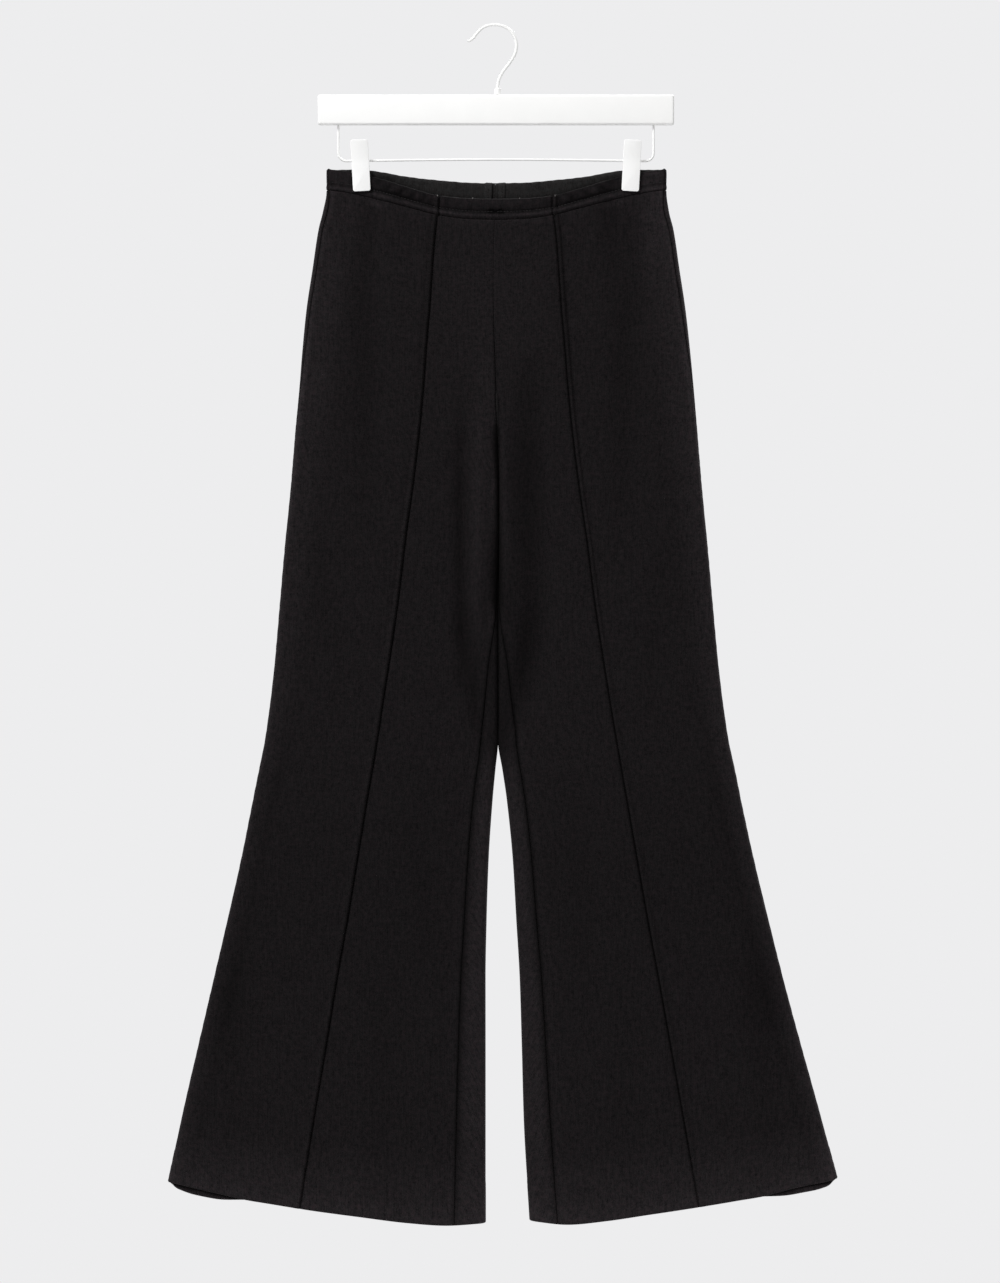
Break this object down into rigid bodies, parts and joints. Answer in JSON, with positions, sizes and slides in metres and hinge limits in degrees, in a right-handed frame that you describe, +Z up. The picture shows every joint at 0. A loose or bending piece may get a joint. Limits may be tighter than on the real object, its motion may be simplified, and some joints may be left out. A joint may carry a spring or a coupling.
{
  "type": "kick flare trousers on a clip hanger",
  "caption": "Pull-on kick flare trousers in black knit crepe, hanging flat by the waistband from a white hanger with a wire rail and two clips.",
  "frame": {"origin": "inner top of the hanger's hook, where it sits on a rail, peg or wall hook", "axes": "+Z up, the front of the trousers faces -Y, +X is to the right as seen from the front"},
  "size_m": [0.6695, 0.0409, 1.1989],
  "materials": {
    "cloth": "matte black knit crepe with a fine grain",
    "bar": "white satin lacquer",
    "wire": "white enamel",
    "clip": "white moulded plastic, satin gloss",
    "spring": "bright spring steel strip"
  },
  "bodies": {
    "root": {"front_left": "cloth", "front_right": "cloth", "back_left": "cloth", "back_right": "cloth", "waistband_front": "cloth", "waistband_back_left": "cloth", "waistband_back_right": "cloth", "hanger_bar": "bar", "hanger_hook": "wire", "hook_collar": "wire", "hanger_rail": "wire", "clip_left_front": "clip", "clip_left_back": "clip", "clip_left_spring": "spring", "clip_right_front": "clip", "clip_right_back": "clip", "clip_right_spring": "spring"}
  },
  "joints": []
}
